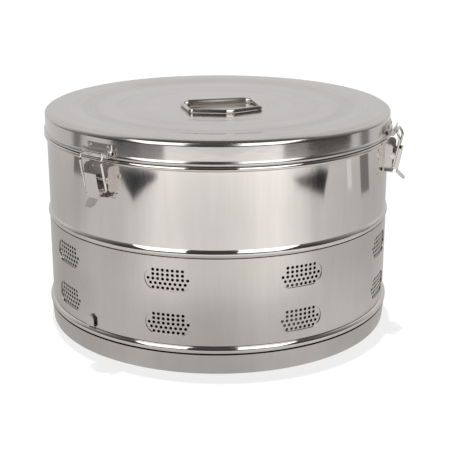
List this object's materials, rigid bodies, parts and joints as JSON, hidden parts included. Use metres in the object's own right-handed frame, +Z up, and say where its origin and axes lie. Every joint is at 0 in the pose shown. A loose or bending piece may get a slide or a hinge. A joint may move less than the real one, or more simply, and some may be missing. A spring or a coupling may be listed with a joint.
{
  "type": "sterilizing drum",
  "caption": "Round stainless sterilizing drum with lift-off lid, folding wire handle, toggle latches and a turning band that shuts its steam windows.",
  "frame": {"origin": "centre of the floor's underside, on the drum's axis", "axes": "+Z up along the drum's axis, -Y towards the viewer of the picture, +X to the right"},
  "size_m": [0.3984, 0.3955, 0.2456],
  "materials": {
    "polished_wall": "polished stainless sheet",
    "satin_band": "fine satin stainless sheet",
    "satin_lid": "circularly satin-finished stainless sheet",
    "bright_wire": "bright drawn stainless wire",
    "bright_pressing": "bright pressed stainless"
  },
  "bodies": {
    "drum": {"body_wall": "polished_wall", "base_pan": "polished_wall", "latch_base_left": "bright_pressing", "latch_base_rivets_left": "bright_pressing", "latch_pin_left": "bright_wire", "latch_base_right": "bright_pressing", "latch_base_rivets_right": "bright_pressing", "latch_pin_right": "bright_wire", "latch_base_back": "bright_pressing", "latch_base_rivets_back": "bright_pressing", "latch_pin_back": "bright_wire"},
    "shutter": {"shutter_band": "satin_band", "shutter_seam_rivets": "satin_band", "shutter_tab": "satin_band"},
    "lid": {"lid": "satin_lid", "bail_clip": "bright_pressing", "bail_clip_rivets": "bright_pressing", "latch_keeper_left": "bright_pressing", "latch_keeper_rivets_left": "bright_pressing", "latch_keeper_right": "bright_pressing", "latch_keeper_rivets_right": "bright_pressing", "latch_keeper_back": "bright_pressing", "latch_keeper_rivets_back": "bright_pressing"},
    "bail": {"bail": "bright_wire"},
    "lever_left": {"latch_lever_left": "bright_pressing"},
    "loop_left": {"latch_loop_left": "bright_wire"},
    "lever_right": {"latch_lever_right": "bright_pressing"},
    "loop_right": {"latch_loop_right": "bright_wire"},
    "lever_back": {"latch_lever_back": "bright_pressing"},
    "loop_back": {"latch_loop_back": "bright_wire"}
  },
  "joints": [
    {"name": "lid_lift", "type": "slide", "parent": "drum", "child": "lid", "axis": [0, 0, 1], "range_m": [0, 0.08]},
    {"name": "bail_swing", "type": "hinge", "parent": "lid", "child": "bail", "pos_m": [-0.00105, 0.0084, 0.2424], "axis": [-0.9736, -0.2284, 0], "range_deg": [0, 180]},
    {"name": "shutter_turn", "type": "hinge", "parent": "drum", "child": "shutter", "pos_m": [0, 0, 0.0775], "axis": [0, 0, 1], "range_deg": [0, 20.8]},
    {"name": "lever_left_open", "type": "hinge", "parent": "drum", "child": "lever_left", "pos_m": [-0.12078, -0.1574, 0.198], "axis": [-0.7934, 0.6088, 0], "range_deg": [0, 88]},
    {"name": "loop_left_swing", "type": "hinge", "parent": "lever_left", "child": "loop_left", "pos_m": [-0.1209, -0.15756, 0.1855], "axis": [-0.7934, 0.6088, 0], "range_deg": [-88, 0]},
    {"name": "lever_right_open", "type": "hinge", "parent": "drum", "child": "lever_right", "pos_m": [0.19118, -0.05302, 0.198], "axis": [-0.2672, -0.9636, 0], "range_deg": [0, 88]},
    {"name": "loop_right_swing", "type": "hinge", "parent": "lever_right", "child": "loop_right", "pos_m": [0.19138, -0.05307, 0.1855], "axis": [-0.2672, -0.9636, 0], "range_deg": [-88, 0]},
    {"name": "lever_back_open", "type": "hinge", "parent": "drum", "child": "lever_back", "pos_m": [-0.06295, 0.18815, 0.198], "axis": [0.9483, 0.3173, 0], "range_deg": [0, 88]},
    {"name": "loop_back_swing", "type": "hinge", "parent": "lever_back", "child": "loop_back", "pos_m": [-0.06302, 0.18834, 0.1855], "axis": [0.9483, 0.3173, 0], "range_deg": [-88, 0]}
  ],
  "couplings": [
    {"joint": "loop_left_swing", "follows": "lever_left_open", "ratio": -1},
    {"joint": "loop_right_swing", "follows": "lever_right_open", "ratio": -1},
    {"joint": "loop_back_swing", "follows": "lever_back_open", "ratio": -1}
  ]
}
